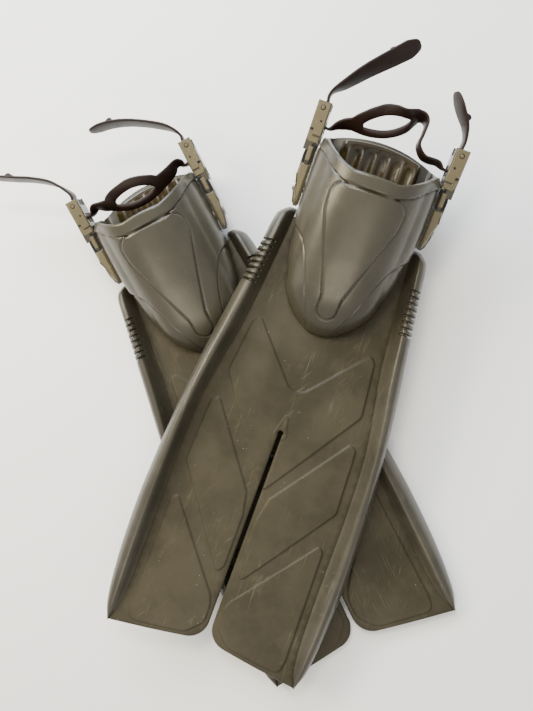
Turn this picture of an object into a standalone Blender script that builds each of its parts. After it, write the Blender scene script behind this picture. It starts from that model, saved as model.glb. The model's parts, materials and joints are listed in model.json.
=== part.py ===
"""A pair of open-heel swim fins, one lying across the other.

Each fin has a split blade between two rubber side rails, a hollow foot pocket with a ribbed
footbed, and a heel strap held by a quick-release buckle on each side. Lengths below are in
millimetres and become metres when a mesh is made. A fin's own frame has x across the foot,
y from the blade's tip towards the heel, and z up from the underside of the sole.
"""
import math

import bmesh
import bpy
from mathutils import Matrix, Vector

MM = 0.001

# ---- how the two fins lie: place of the blade's tip, heading, nose-up pitch and side roll ----
LOWER_PLACE = (48.4, -396.8, 0.0)
LOWER_YAW = math.radians(25.4)
UPPER_PLACE = (-139.0, -394.2, 34.8)
UPPER_YAW = math.radians(-20.8)
UPPER_PITCH = math.radians(1.0)
UPPER_ROLL = math.radians(5.5)

# ---- blade and rails ----
BLADE_BOTTOM = 6.5
BLADE_TOP = 11.5
BLADE_ROOT = 500.0
TIP_SWEEP = 16.0
SPLIT_TOP = 270.0
SPLIT_HALF_GAP = 1.8
LOBE_RADIUS = 24.0
RAIL_END = 510.0
RAIL_OUTER = [(0, 114), (20, 121), (60, 126), (110, 128), (170, 127), (300, 117), (420, 102), (470, 94), (498, 90),
              (510, 82)]
RAIL_INNER = [(0, 112), (18, 107), (45, 103.5), (105, 101.5), (200, 101), (270, 98), (312, 92), (365, 82),
              (405, 77), (470, 70.5), (510, 67.5)]
RAIL_HEIGHT = [(0, 12), (20, 17), (60, 22), (120, 26), (250, 30), (400, 32), (470, 30), (498, 25), (510, 16)]
RAIL_BASE = [(0, 5), (60, 1.2), (100, 0), (510, 0)]
RAIL_WALL = 9.0
RAIL_ARC_STEPS = 7
GRIP_FIRST = 416.0
GRIP_PITCH = 6.8
GRIP_TEETH = 8
GRIP_DEPTH = 5.5

# ---- foot pocket ----
TOE = 386.0
NOSE_LENGTH = 46.0
NOSE_POWER = 2.2
NOSE_CENTRE_Z = 9.0
HEEL = 608.0
POCKET_HALF = [(386, 36), (403, 43), (430, 52), (486, 61), (530, 64), (610, 64)]
POCKET_TOP = [(386, 44), (410, 50), (470, 76), (542, 103), (610, 120)]
POCKET_WALL = 5.0
POCKET_FLOOR = 6.0
POCKET_WIDEST_Z = 20.0
POCKET_CORNER = 8.0
ARCH_POWER = 2.3
ARCH_STEPS = 14
RIM_RISE = 42.0
RIM_CURVE = 2.6
RIM_TOP_Z = 105.0
HEEL_STEP = 19.0
HEEL_STEP_LOW = 8.0
HEEL_STEP_HIGH = 20.0
HEEL_ROUND = 14.0
POCKET_RINGS = 16
INNER_TOE_GAP = 9.0

# ---- footbed ----
BED_START = 452.0
BED_HALF = 45.0
BED_BASE = 2.0
BED_RIB = 3.4
BED_PITCH = 13.0
BED_RIBS = 6
BED_END_GAP = 5.0

# ---- buckle, in its own frame: u along the strap from the stud, n outward, v across ----
STUD_Y = 529.0
STUD_Z = 30.0
BUCKLE_X = 67.0
BUCKLE_RISE = math.radians(15.0)
STUD_SHAFT = 4.2
STUD_FLANGE = 7.0
STUD_HEAD = 6.4
CLEAR = 0.35
BASE_HALF = 11.5
BASE_TOP = 36.0
FRAME_HALF = 12.5
FRAME_IN = -0.5
FRAME_OUT = 14.0
FRAME_START = 38.0
FRAME_END = 88.0
CHEEK_INNER = 10.0
LEVER_PIN_U = 75.0
LEVER_PIN_N = 10.4
LEVER_PIN_R = 2.5
BUTTON_INNER = 6.0
BUTTON_OUTER = 12.4

# ---- strap ----
STRAP_HALF = 9.3
STRAP_THICK = 3.0
STRAP_RUN_N = 5.2
STRAP_STEP = 4.0
LOOP_HALF = 34.0
LOOP_HOLE_HALF = 25.0
LOOP_RISE = 15.0
LOOP_HOLE_LOW = -3.0
LOOP_HOLE_RISE = 12.5
LOOP_SPREAD = 2.0

# Routes of the strap outside the buckles, as (x, y, z, lean); lean is how far the strap's width
# leans back towards the heel, in degrees. The band runs from the left buckle to the right one.
UPPER_BAND = [(-54, 596, 50, 5), (-43, 600, 56, 20), (-25, 602, 60, 38), (-7, 607, 62, 50), (9, 616, 64, 45),
              (20, 627, 64, 25), (29, 624, 62, 5), (30, 613, 60, 0), (30, 602, 57, 0), (39, 594, 53, 0),
              (54, 594, 49, 0)]
LOWER_BAND = [(-54, 595, 50, 5), (-43, 590, 56, 20), (-26, 583, 62, 40), (-7, 578, 64, 50), (14, 578, 65, 50),
              (38, 584, 62, 35), (54, 594, 52, 8)]
UPPER_LEFT_TAIL = [(-61, 634, 62, 15), (-44, 652, 68, 30), (-23, 672, 72, 42), (-4, 690, 76, 48)]
UPPER_RIGHT_TAIL = [(66, 634, 63, 5), (55, 646, 70, 10), (45, 658, 75, 15)]
LOWER_LEFT_TAIL = [(-84, 640, 60, 0), (-103, 655, 61, 0), (-122, 666, 62, 0), (-150, 683, 62, 0)]
LOWER_RIGHT_TAIL = [(63, 634, 61, 0), (47, 646, 64, 0), (26, 659, 65, 0), (5, 667, 66, 0), (-18, 671, 66, 0)]
LOOP_X = {"upper": -8.0, "lower": -4.0}
TIP_ROUND = 12.0
TAIL_FROM = 632.0
TAIL_SPREAD = 0.12


# ---------------------------------------------------------------- materials
def make_material(name, colour, roughness, metallic=0.0):
    """One Principled BSDF with a plain colour."""
    material = bpy.data.materials.new(name)
    material.use_nodes = True
    shader = material.node_tree.nodes["Principled BSDF"]
    shader.inputs["Base Color"].default_value = (*colour, 1.0)
    shader.inputs["Roughness"].default_value = roughness
    shader.inputs["Metallic"].default_value = metallic
    return material


# ---------------------------------------------------------------- small geometry helpers
def through(stations):
    """A smooth function of one variable that passes through the given stations."""
    def slope(i):
        low = max(i - 1, 0)
        high = min(i + 1, len(stations) - 1)
        return (stations[high][1] - stations[low][1]) / (stations[high][0] - stations[low][0])

    def value(at):
        if at <= stations[0][0]:
            return stations[0][1]
        if at >= stations[-1][0]:
            return stations[-1][1]
        i = max(k for k in range(len(stations) - 1) if stations[k][0] <= at)
        start, end = stations[i], stations[i + 1]
        span = end[0] - start[0]
        t = (at - start[0]) / span
        a = (1 + 2 * t) * (1 - t) ** 2 * start[1] + t * (1 - t) ** 2 * span * slope(i)
        b = t * t * (3 - 2 * t) * end[1] + t * t * (t - 1) * span * slope(i + 1)
        return a + b

    return value


rail_outer = through(RAIL_OUTER)
rail_inner = through(RAIL_INNER)
rail_height = through(RAIL_HEIGHT)
rail_base = through(RAIL_BASE)
pocket_half = through(POCKET_HALF)
pocket_top = through(POCKET_TOP)


def nose(y, start=TOE):
    """How full the pocket is at y, from 0 at the toe to 1 behind the nose."""
    t = min(max((y - start) / NOSE_LENGTH, 0.0), 1.0)
    return (1 - (1 - t) ** NOSE_POWER) ** (1 / NOSE_POWER)


def add_object(name, bm, material, parent, smooth=True):
    """Turn a bmesh in millimetres into a named object with faces pointing out."""
    bmesh.ops.scale(bm, vec=(MM, MM, MM), verts=bm.verts)
    bmesh.ops.recalc_face_normals(bm, faces=bm.faces)
    mesh = bpy.data.meshes.new(name)
    bm.to_mesh(mesh)
    bm.free()
    mesh.materials.append(material)
    if smooth:
        mesh.shade_smooth()
        mesh.set_sharp_from_angle(angle=math.radians(35))
    piece = bpy.data.objects.new(name, mesh)
    bpy.context.collection.objects.link(piece)
    piece.parent = parent
    return piece


def add_empty(name, parent, place=(0, 0, 0), turn=None):
    """A frame to hang pieces on; place is in millimetres."""
    frame = bpy.data.objects.new(name, None)
    bpy.context.collection.objects.link(frame)
    frame.parent = parent
    frame.location = [MM * c for c in place]
    if turn:
        frame.rotation_euler = turn
    return frame


def prism(points, low, high):
    """A bmesh prism: an outline in x and y, run along z."""
    bm = bmesh.new()
    bottom = [bm.verts.new((x, y, low)) for x, y in points]
    top = [bm.verts.new((x, y, high)) for x, y in points]
    bm.faces.new(bottom)
    bm.faces.new(top)
    for i in range(len(points)):
        j = (i + 1) % len(points)
        bm.faces.new((bottom[i], bottom[j], top[j], top[i]))
    return bm


def block(side, n, u, v):
    """A box in the buckle's frame, from (low, high) pairs."""
    corners = [(side * n[0], u[0]), (side * n[1], u[0]), (side * n[1], u[1]), (side * n[0], u[1])]
    return prism(corners, v[0], v[1])


def turned(profile, steps, axis):
    """A solid turned from (radius, place) pairs that start and end on its axis."""
    bm = bmesh.new()
    rings = []
    for radius, along in profile:
        if radius == 0:
            ring = [bm.verts.new(axis(0.0, 0.0, along))]
        else:
            angles = [2 * math.pi * k / steps for k in range(steps)]
            ring = [bm.verts.new(axis(radius * math.cos(a), radius * math.sin(a), along)) for a in angles]
        rings.append(ring)
    for ring, following in zip(rings, rings[1:]):
        for k in range(steps):
            m = (k + 1) % steps
            corners = [ring[k % len(ring)], ring[m % len(ring)], following[m % len(following)],
                       following[k % len(following)]]
            bm.faces.new(list(dict.fromkeys(corners)))
    return bm


def skin(bm, rings, closed=True):
    """Quads between rings of equal length; a one-vertex ring is a pole."""
    for ring, following in zip(rings, rings[1:]):
        count = max(len(ring), len(following))
        for k in range(count if closed else count - 1):
            m = (k + 1) % count
            corners = [ring[k % len(ring)], ring[m % len(ring)], following[m % len(following)],
                       following[k % len(following)]]
            bm.faces.new(list(dict.fromkeys(corners)))


def cut(piece, cutter, operation="DIFFERENCE"):
    """Cut or join with a hidden helper shape."""
    cutter.hide_render = True
    cutter.display_type = "WIRE"
    modifier = piece.modifiers.new(operation.title(), "BOOLEAN")
    modifier.operation = operation
    modifier.object = cutter


def soften(piece, width, segments=1):
    """Round a piece's sharp edges."""
    bevel = piece.modifiers.new("Bevel", "BEVEL")
    bevel.width = width * MM
    bevel.segments = segments
    bevel.limit_method = "ANGLE"
    bevel.angle_limit = math.radians(50)


# ---------------------------------------------------------------- blade
def nose_stations(count):
    """Places along the nose, closer together near the toe."""
    return [TOE + NOSE_LENGTH * (k / count) ** 2 for k in range(1, count + 1)]


def blade_half_outline():
    """The right half of the blade: split, rounded lobe, tip, rail side and pocket side."""
    points = [(0.0, SPLIT_TOP + SPLIT_HALF_GAP), (SPLIT_HALF_GAP, SPLIT_TOP)]
    centre_x = SPLIT_HALF_GAP + LOBE_RADIUS
    centre_y = TIP_SWEEP - 3.0 + LOBE_RADIUS
    for k in range(9):
        angle = math.pi + (math.pi / 2 - math.atan(TIP_SWEEP / rail_inner(0))) * k / 8
        points.append((centre_x + LOBE_RADIUS * math.cos(angle), centre_y + LOBE_RADIUS * math.sin(angle)))
    side = sorted({y for y, groove in rail_stations() if y <= BLADE_ROOT})
    points += [(rail_inner(y) - CLEAR, y) for y in side]
    pocket = [BLADE_ROOT, 486, 470, 455, 440] + nose_stations(12)[::-1]
    points += [(pocket_half(y) * nose(y) + 0.7, y - 0.3) for y in pocket]
    points.append((0.0, TOE - 0.9))
    return points


def make_blade(name, material, parent):
    right = blade_half_outline()
    left = [(-x, y) for x, y in reversed(right) if x > 0]
    return add_object(name, prism(right + left, BLADE_BOTTOM, BLADE_TOP), material, parent, smooth=False)


# ---------------------------------------------------------------- rails
def rail_stations():
    """Places along a rail, with four for each grip tooth: up, crest, down and groove."""
    stations = [0, 5, 12, 20, 35, 60, 90, 120, 170, 210, 250, 300, 340, 380, 410]
    grooves = []
    for tooth in range(GRIP_TEETH):
        start = GRIP_FIRST + GRIP_PITCH * tooth
        for share, depth in ((0.0, 0.0), (0.2, 1.0), (0.5, 1.0), (0.7, 0.0)):
            grooves.append((start + share * GRIP_PITCH, depth))
    rest = [476, 484, 492, 499, 505, RAIL_END]
    return [(y, 0.0) for y in stations] + grooves + [(y, 0.0) for y in rest]


def rail_section(y, groove):
    """A rail's outline across at y: a wall on the blade's side and a rounded back."""
    inner = rail_inner(y)
    outer = rail_outer(y)
    low = rail_base(y)
    high = rail_height(y)
    wall = min(low + RAIL_WALL, 0.6 * high + 0.4 * low)
    half = (outer - inner) / 2
    points = [(inner, low), (inner, wall)]
    for k in range(1, RAIL_ARC_STEPS):
        angle = math.pi - math.pi * k / RAIL_ARC_STEPS
        x = inner + half + half * math.cos(angle)
        z = wall + (high - wall) * math.sin(angle) ** 0.85
        points.append((x, z))
    points += [(outer, wall), (outer, low + 2.0), (outer - 2.0, low)]
    share = [(x - inner) / (outer - inner) for x, z in points]
    return [(x - groove * GRIP_DEPTH * max(s - 0.55, 0.0) / 0.45, y, z) for s, (x, z) in zip(share, points)]


def make_rail(name, side, material, parent):
    bm = bmesh.new()
    rings = []
    for y, groove in rail_stations():
        rings.append([bm.verts.new((side * x, y, z)) for x, y, z in rail_section(y, groove)])
    skin(bm, rings)
    bm.faces.new(rings[0])
    bm.faces.new(rings[-1])
    return add_object(name, bm, material, parent)


# ---------------------------------------------------------------- foot pocket
def pocket_section(y, inset, floor, nose_start):
    """The pocket's outline across at y, flat below and arched above."""
    half = pocket_half(y) - inset
    top = pocket_top(y) - inset
    corner = POCKET_CORNER - inset / 2
    reach = half - corner
    points = [(0.0, floor), (reach / 2, floor), (reach, floor), (half - 0.3 * corner, floor + 0.3 * corner),
              (half, floor + corner)]
    for k in range(ARCH_STEPS + 1):
        angle = math.pi * k / ARCH_STEPS
        c = math.cos(angle)
        x = math.copysign(half * abs(c) ** (2 / ARCH_POWER), c)
        z = POCKET_WIDEST_Z + (top - POCKET_WIDEST_Z) * math.sin(angle) ** (2 / ARCH_POWER)
        points.append((x, z))
    points += [(-x, z) for x, z in points[4:0:-1]]
    full = nose(y, nose_start)
    return [(x * full, NOSE_CENTRE_Z + (z - NOSE_CENTRE_Z) * full) for x, z in points]


def rim_place(x, z):
    """Where the rim is along the fin: a rounded sole, then a step forward that curves over the instep."""
    up = min(max((z - POCKET_FLOOR) / (RIM_TOP_Z - POCKET_FLOOR), 0.0), 1.0)
    step = min(max((z - HEEL_STEP_LOW) / (HEEL_STEP_HIGH - HEEL_STEP_LOW), 0.0), 1.0)
    rounding = HEEL_ROUND * (x / POCKET_HALF[-1][1]) ** 2 * (1 - step)
    return HEEL - rounding - HEEL_STEP * step - RIM_RISE * up ** RIM_CURVE


def make_pocket(name, material, parent):
    bm = bmesh.new()
    reference = pocket_section(560.0, 0.0, 0.0, TOE)
    rims = [rim_place(x, z) for x, z in reference]

    def layer(start, inset, floor):
        rings = []
        for j in range(1, POCKET_RINGS + 1):
            share = (j / POCKET_RINGS) ** 1.7
            ring = []
            for k, rim in enumerate(rims):
                y = start + (rim - start) * share
                x, z = pocket_section(y, inset, floor, start)[k]
                ring.append(bm.verts.new((x, y, z)))
            rings.append(ring)
        return [[bm.verts.new((0.0, start, NOSE_CENTRE_Z))]] + rings

    outer = layer(TOE, 0.0, 0.0)
    inner = layer(TOE + INNER_TOE_GAP, POCKET_WALL, POCKET_FLOOR)
    skin(bm, outer)
    skin(bm, inner)
    skin(bm, [outer[-1], inner[-1]])
    return add_object(name, bm, material, parent)


def make_footbed(name, material, parent):
    """A ribbed mat on the pocket's floor, with its heel end rounded like the sole's."""
    low = POCKET_FLOOR + CLEAR
    first = -BED_PITCH * (BED_RIBS - 1) / 2
    profile = [(-BED_HALF, low), (BED_HALF, low), (BED_HALF, low + BED_BASE)]
    for k in reversed(range(BED_RIBS)):
        middle = first + BED_PITCH * k
        profile += [(middle + 3.6, low + BED_BASE), (middle + 2.6, low + BED_BASE + BED_RIB),
                    (middle - 2.6, low + BED_BASE + BED_RIB), (middle - 3.6, low + BED_BASE)]
    profile.append((-BED_HALF, low + BED_BASE))
    bm = bmesh.new()
    rings = []
    for y in (BED_START, HEEL - BED_END_GAP):
        ring = []
        for x, z in profile:
            back = HEEL_ROUND * (x / POCKET_HALF[-1][1]) ** 2 if y > BED_START else 0.0
            ring.append(bm.verts.new((x, y - back, z)))
        rings.append(ring)
        bm.faces.new(ring)
    skin(bm, rings)
    return add_object(name, bm, material, parent, smooth=False)


# ---------------------------------------------------------------- buckles
def make_stud(name, side, material, frame):
    """The swivel stud: a flange at the pocket, a shaft and a head outside the buckle's base."""
    profile = [(0, -2.6), (STUD_FLANGE, -2.6), (STUD_FLANGE, -0.6), (STUD_SHAFT, -0.6), (STUD_SHAFT, 10.4),
               (STUD_HEAD, 10.4), (STUD_HEAD - 1.2, 12.2), (0, 12.2)]
    return add_object(name, turned(profile, 20, lambda a, b, along: (side * along, a, b)), material, frame)


def make_base(name, side, material, frame):
    """The lower half of a buckle: it swivels on the stud and takes the frame's tongue."""
    outline = [(0, -18), (1.5, -20), (5, -20), (7.5, -16), (10, -6), (10, 10), (12, 14), (12, BASE_TOP),
               (5.5, BASE_TOP), (5.5, 46.5), (0, 46.5)]
    body = prism([(side * n, u) for n, u in outline], -BASE_HALF, BASE_HALF)
    base = add_object(name, body, material, frame, False)
    hole = turned([(0, -2), (STUD_SHAFT + CLEAR, -2), (STUD_SHAFT + CLEAR, 14), (0, 14)], 20,
                  lambda a, b, along: (side * along, a, b))
    cut(base, add_object(name + "_hole_cutter", hole, material, frame))
    slot = block(side, (3.0, 9.0), (12.0, 38.0), (-9.0, 9.0))
    cut(base, add_object(name + "_slot_cutter", slot, material, frame, False))
    windows = block(side, (3.0, 9.0), (18.0, 32.0), (-14.0, 14.0))
    cut(base, add_object(name + "_window_cutter", windows, material, frame, False))
    return base


def make_frame(name, side, material, frame):
    """The upper half of a buckle: a channel for the strap, with a tongue that clips into the base."""
    body = block(side, (FRAME_IN, FRAME_OUT), (FRAME_START, FRAME_END), (-FRAME_HALF, FRAME_HALF))
    piece = add_object(name, body, material, frame, False)
    cuts = {
        "channel": block(side, (2.5, 20.0), (42.0, 95.0), (-CHEEK_INNER, CHEEK_INNER)),
        "slot": block(side, (-3.0, 3.5), (58.0, 69.5), (-CHEEK_INNER, CHEEK_INNER)),
        "mouth": block(side, (-3.0, 3.5), (80.0, 95.0), (-CHEEK_INNER, CHEEK_INNER)),
        "step": block(side, (-3.0, 6.0), (30.0, 47.0), (-14.0, 14.0)),
    }
    for part, shape in cuts.items():
        cut(piece, add_object(name + "_" + part + "_cutter", shape, material, frame, False))
    for part, u, n, radius in (("pin", LEVER_PIN_U, LEVER_PIN_N, LEVER_PIN_R + CLEAR), ("hole", 60.0, 11.0, 1.6)):
        bore = turned([(0, -16), (radius, -16), (radius, 16), (0, 16)], 16,
                      lambda a, b, along, u=u, n=n: (side * (n + a), u + b, along))
        cut(piece, add_object(name + "_" + part + "_cutter", bore, material, frame))
    tongue = block(side, (6.3, 8.6), (14.0, 43.0), (-3.0, 3.0))
    cut(piece, add_object(name + "_tongue_joined", tongue, material, frame, False), "UNION")
    return piece


def make_lever(name, side, material, pivot):
    """The strap lever, round where it turns on its pin; its origin is on the pin."""
    outline = []
    for k in range(9):
        angle = -math.pi / 2 + math.pi * k / 8
        outline.append((3.4 * math.sin(angle), 3.4 * math.cos(angle)))
    outline += [(3.5, -4.0), (3.5, -21.0), (2.3, -24.0), (0.5, -24.0), (-3.4, -8.0)]
    lever = add_object(name, prism([(side * n, u) for n, u in outline], -9.5, 9.5), material, pivot, False)
    bore = turned([(0, -12), (LEVER_PIN_R + CLEAR, -12), (LEVER_PIN_R + CLEAR, 12), (0, 12)], 16,
                  lambda a, b, along: (a, b, along))
    cut(lever, add_object(name + "_bore_cutter", bore, material, pivot))
    return lever


def make_pin(name, material, pivot):
    profile = [(0, -12.3), (LEVER_PIN_R - 0.4, -12.3), (LEVER_PIN_R, -11.9), (LEVER_PIN_R, 11.9),
               (LEVER_PIN_R - 0.4, 12.3), (0, 12.3)]
    return add_object(name, turned(profile, 16, lambda a, b, along: (a, b, along)), material, pivot)


def make_button(name, side, up, material, frame):
    """A squeeze button in one of the base's side windows."""
    low, high = sorted((up * BUTTON_INNER, up * BUTTON_OUTER))
    button = add_object(name, block(side, (3.5, 8.5), (19.0, 31.0), (low, high)), material, frame, False)
    soften(button, 0.5)
    return button


def make_buckle(prefix, side, materials, swing):
    """All of one buckle; the stud stays with the pocket and is made apart."""
    x = side * BUCKLE_X
    frame = add_empty(prefix + "_buckle_place", swing, (x, 0, 0), (BUCKLE_RISE, 0, 0))
    make_base(prefix + "_buckle_base", side, materials["buckle"], frame)
    make_frame(prefix + "_buckle_frame", side, materials["buckle"], frame)
    pivot = add_empty(prefix + "_lever_place", frame, (side * LEVER_PIN_N, LEVER_PIN_U, 0))
    make_lever(prefix + "_strap_lever", side, materials["lever"], pivot)
    make_pin(prefix + "_lever_pin", materials["metal"], pivot)
    make_button(prefix + "_top_button", side, 1, materials["lever"], frame)
    make_button(prefix + "_bottom_button", side, -1, materials["lever"], frame)


# ---------------------------------------------------------------- strap
def in_buckle(side, u, n):
    """A point of the fin's frame from a buckle's u and n."""
    return (side * (BUCKLE_X + n), STUD_Y + u * math.cos(BUCKLE_RISE), STUD_Z + u * math.sin(BUCKLE_RISE),
            -math.degrees(BUCKLE_RISE))


def buckle_run(side):
    """The strap's way through a frame, from its mouth to the inside of its slot."""
    places = [(97.0, STRAP_RUN_N), (88.0, STRAP_RUN_N), (76.0, STRAP_RUN_N), (70.0, 4.8), (66.0, 2.6), (64.4, -1.0),
              (64.6, -6.0)]
    return [in_buckle(side, u, n) for u, n in places]


def smooth_route(route, step):
    """Points about one step apart on a Catmull-Rom curve through the route."""
    points = [Vector(p) for p in route]
    points = [2 * points[0] - points[1]] + points + [2 * points[-1] - points[-2]]
    out = []
    for i in range(1, len(points) - 2):
        a, b, c, d = points[i - 1:i + 3]
        count = max(1, round((c.xyz - b.xyz).length / step))
        for k in range(count):
            t = k / count
            out.append(0.5 * ((2 * b) + (c - a) * t + (2 * a - 5 * b + 4 * c - d) * t ** 2
                              + (3 * b - a - 3 * c + d) * t ** 3))
    out.append(points[-2])
    return out


def loop_columns(along, middle):
    """The strap's edges across at one place: bottom, hole low, hole high, top."""
    s = along - middle
    if abs(s) >= LOOP_HALF:
        return -STRAP_HALF, 0.0, 0.0, STRAP_HALF
    swell = math.cos(math.pi * s / (2 * LOOP_HALF)) ** 0.7
    low = -STRAP_HALF - LOOP_SPREAD * swell
    high = STRAP_HALF + LOOP_RISE * swell
    if abs(s) >= LOOP_HOLE_HALF:
        return low, 0.0, 0.0, high
    hole = math.cos(math.pi * s / (2 * LOOP_HOLE_HALF)) ** 0.6
    return low, LOOP_HOLE_LOW * hole, LOOP_HOLE_RISE * hole, high


def make_strap(name, key, band, left_tail, right_tail, material, swing):
    """One band from tail to tail, through both buckles, with a finger loop at the heel."""
    route = left_tail[::-1] + buckle_run(-1) + band + buckle_run(1)[::-1] + right_tail
    points = smooth_route(route, STRAP_STEP)
    lengths = [0.0]
    for before, after in zip(points, points[1:]):
        lengths.append(lengths[-1] + (after.xyz - before.xyz).length)
    first = len(smooth_route(left_tail[::-1] + buckle_run(-1), STRAP_STEP))
    middle = next(lengths[i] for i in range(first, len(points)) if points[i].x >= LOOP_X[key])
    bm = bmesh.new()
    columns = []
    for i, point in enumerate(points):
        ahead = points[min(i + 1, len(points) - 1)].xyz
        behind = points[max(i - 1, 0)].xyz
        run = (ahead - behind).normalized()
        lean = math.radians(point.w)
        across = Vector((0.0, math.sin(lean), math.cos(lean)))
        across = (across - across.project(run)).normalized()
        edges = loop_columns(lengths[i], middle)
        tip = min(lengths[i], lengths[-1] - lengths[i])
        narrow = 0.35 + 0.65 * math.sqrt(min(tip / TIP_ROUND, 1.0))
        narrow *= 1.0 + TAIL_SPREAD * min(max((point.y - TAIL_FROM) / TIP_ROUND, 0.0), 1.0)
        verts = [bm.verts.new(point.xyz + across * (edge * narrow)) for edge in edges[:2]]
        verts.append(verts[1] if edges[1] == edges[2] else bm.verts.new(point.xyz + across * edges[2]))
        verts.append(bm.verts.new(point.xyz + across * (edges[3] * narrow)))
        columns.append(verts)
    for column, following in zip(columns, columns[1:]):
        for low, high in ((0, 1), (2, 3)):
            bm.faces.new((column[low], following[low], following[high], column[high]))
    bmesh.ops.translate(bm, verts=bm.verts, vec=(0.0, -STUD_Y, -STUD_Z))
    strap = add_object(name, bm, material, swing)
    thick = strap.modifiers.new("Thickness", "SOLIDIFY")
    thick.thickness = STRAP_THICK * MM
    thick.offset = 0.0
    return strap


# ---------------------------------------------------------------- one fin
def make_fin(key, materials, place, turn, band, left_tail, right_tail):
    fin = add_empty(key + "_fin_place", None, place, turn)
    make_blade(key + "_blade", materials["blade"], fin)
    make_pocket(key + "_foot_pocket", materials["rubber"], fin)
    make_footbed(key + "_footbed", materials["rubber"], fin)
    swing = add_empty(key + "_strap_swing", fin, (0, STUD_Y, STUD_Z))
    make_strap(key + "_heel_strap", key, band, left_tail, right_tail, materials["strap"], swing)
    for side, label in ((-1, "left"), (1, "right")):
        prefix = key + "_" + label
        make_rail(prefix + "_rail", side, materials["rubber"], fin)
        stud_place = add_empty(prefix + "_stud_place", fin, (side * BUCKLE_X, STUD_Y, STUD_Z))
        make_stud(prefix + "_stud", side, materials["metal"], stud_place)
        make_buckle(prefix, side, materials, swing)
    return fin


def centre_on_origin(fins):
    """Move both fins so that the origin is at the middle of the pair's base."""
    bpy.context.view_layer.update()
    graph = bpy.context.evaluated_depsgraph_get()
    corners = []
    for piece in bpy.context.scene.objects:
        if piece.type == "MESH" and not piece.hide_render:
            seen = piece.evaluated_get(graph)
            corners += [seen.matrix_world @ vertex.co for vertex in seen.data.vertices]
    middle = [(min(c[k] for c in corners) + max(c[k] for c in corners)) / 2 for k in (0, 1)]
    shift = Matrix.Translation((-middle[0], -middle[1], -min(c.z for c in corners)))
    for fin in fins:
        fin.location = shift @ fin.location


def main():
    for thing in list(bpy.data.objects):
        bpy.data.objects.remove(thing, do_unlink=True)
    materials = {
        "blade": make_material("blade_plastic", (0.062, 0.055, 0.042), 0.45),
        "rubber": make_material("black_rubber", (0.045, 0.045, 0.047), 0.4),
        "buckle": make_material("buckle_plastic", (0.03, 0.03, 0.03), 0.3),
        "lever": make_material("lever_plastic", (0.02, 0.02, 0.02), 0.35),
        "strap": make_material("strap_rubber", (0.035, 0.033, 0.035), 0.5),
        "metal": make_material("stainless_pin", (0.45, 0.43, 0.4), 0.3, 1.0),
    }
    lower = make_fin("lower", materials, LOWER_PLACE, (0, 0, LOWER_YAW), LOWER_BAND, LOWER_LEFT_TAIL,
                     LOWER_RIGHT_TAIL)
    tilt = Matrix.Rotation(UPPER_YAW, 3, "Z") @ Matrix.Rotation(UPPER_PITCH, 3, "X") @ \
        Matrix.Rotation(UPPER_ROLL, 3, "Y")
    upper = make_fin("upper", materials, UPPER_PLACE, tilt.to_euler(), UPPER_BAND, UPPER_LEFT_TAIL,
                     UPPER_RIGHT_TAIL)
    centre_on_origin([lower, upper])


main()
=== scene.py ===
"""Looks for a pair of open-heel swim fins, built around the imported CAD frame.

Lengths in the fin helpers are millimetres in a fin's own frame: x across the foot, y from the
blade's tip towards the heel, z up from the underside of the sole.
"""
import json
import math

import bmesh
import bpy
import numpy as np
from mathutils import Matrix, Vector
from mathutils.geometry import delaunay_2d_cdt


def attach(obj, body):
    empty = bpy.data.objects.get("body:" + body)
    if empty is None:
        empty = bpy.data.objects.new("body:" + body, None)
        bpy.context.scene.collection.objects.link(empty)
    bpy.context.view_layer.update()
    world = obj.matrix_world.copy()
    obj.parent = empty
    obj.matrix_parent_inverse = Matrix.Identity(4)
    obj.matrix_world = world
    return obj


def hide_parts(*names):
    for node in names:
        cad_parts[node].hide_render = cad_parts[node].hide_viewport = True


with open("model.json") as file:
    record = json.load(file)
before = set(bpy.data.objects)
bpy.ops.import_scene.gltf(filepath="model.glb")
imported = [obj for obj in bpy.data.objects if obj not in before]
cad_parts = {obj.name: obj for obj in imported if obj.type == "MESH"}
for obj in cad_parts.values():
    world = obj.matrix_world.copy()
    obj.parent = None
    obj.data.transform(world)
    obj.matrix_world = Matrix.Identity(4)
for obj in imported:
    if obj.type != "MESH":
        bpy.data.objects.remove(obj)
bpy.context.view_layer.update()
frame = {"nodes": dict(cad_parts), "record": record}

record = frame["record"]
JOINTS = {joint["name"]: joint for joint in record["behaviour"]["joints"]}
KEYS = ("lower", "upper")
SIDES = ((-1, "left"), (1, "right"))
MM = 0.001

# ---- shape numbers of one fin, in millimetres, close to those of the CAD part ----
RISE = math.radians(15.0)
STUD_Y = 529.0
STUD_Z = 30.0
BUCKLE_X = 67.0
BLADE_BOTTOM = 6.5
BLADE_TOP = 11.5
BLADE_ROOT = 500.0
TIP_SWEEP = 16.0
SPLIT_TOP = 269.0
SPLIT_HALF = 2.4
LOBE_RADIUS = 24.0
RAIL_OUTER = [(0, 114), (20, 121), (60, 126), (110, 128), (170, 127), (300, 117), (420, 100), (470, 92.5),
              (498, 88), (510, 80)]
RAIL_INNER = [(0, 112), (18, 107), (45, 103.5), (105, 101.5), (200, 101), (270, 98), (312, 92), (365, 82),
              (405, 77), (470, 70.5), (510, 67.5)]
RAIL_HEIGHT = [(0, 12), (20, 17), (60, 22), (120, 26), (250, 30), (400, 32), (470, 30), (498, 25), (510, 16)]
RAIL_BASE = [(0, 5), (60, 1.2), (100, 0), (510, 0)]
GRIP_FIRST = 416.0
GRIP_PITCH = 6.8
GRIP_TEETH = 8
GRIP_DEPTH = 5.0
TOE = 386.0
NOSE_LENGTH = 46.0
NOSE_POWER = 2.2
NOSE_Z = 9.0
HEEL = 608.0
POCKET_HALF = [(386, 36), (403, 43), (430, 52), (486, 61), (530, 64), (610, 64)]
HEEL_HALF = 64.0
POCKET_TOP = [(386, 44), (410, 50), (470, 76), (542, 103), (610, 120)]
WIDEST_Z = 20.0
ARCH_POWER = 2.3
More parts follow.
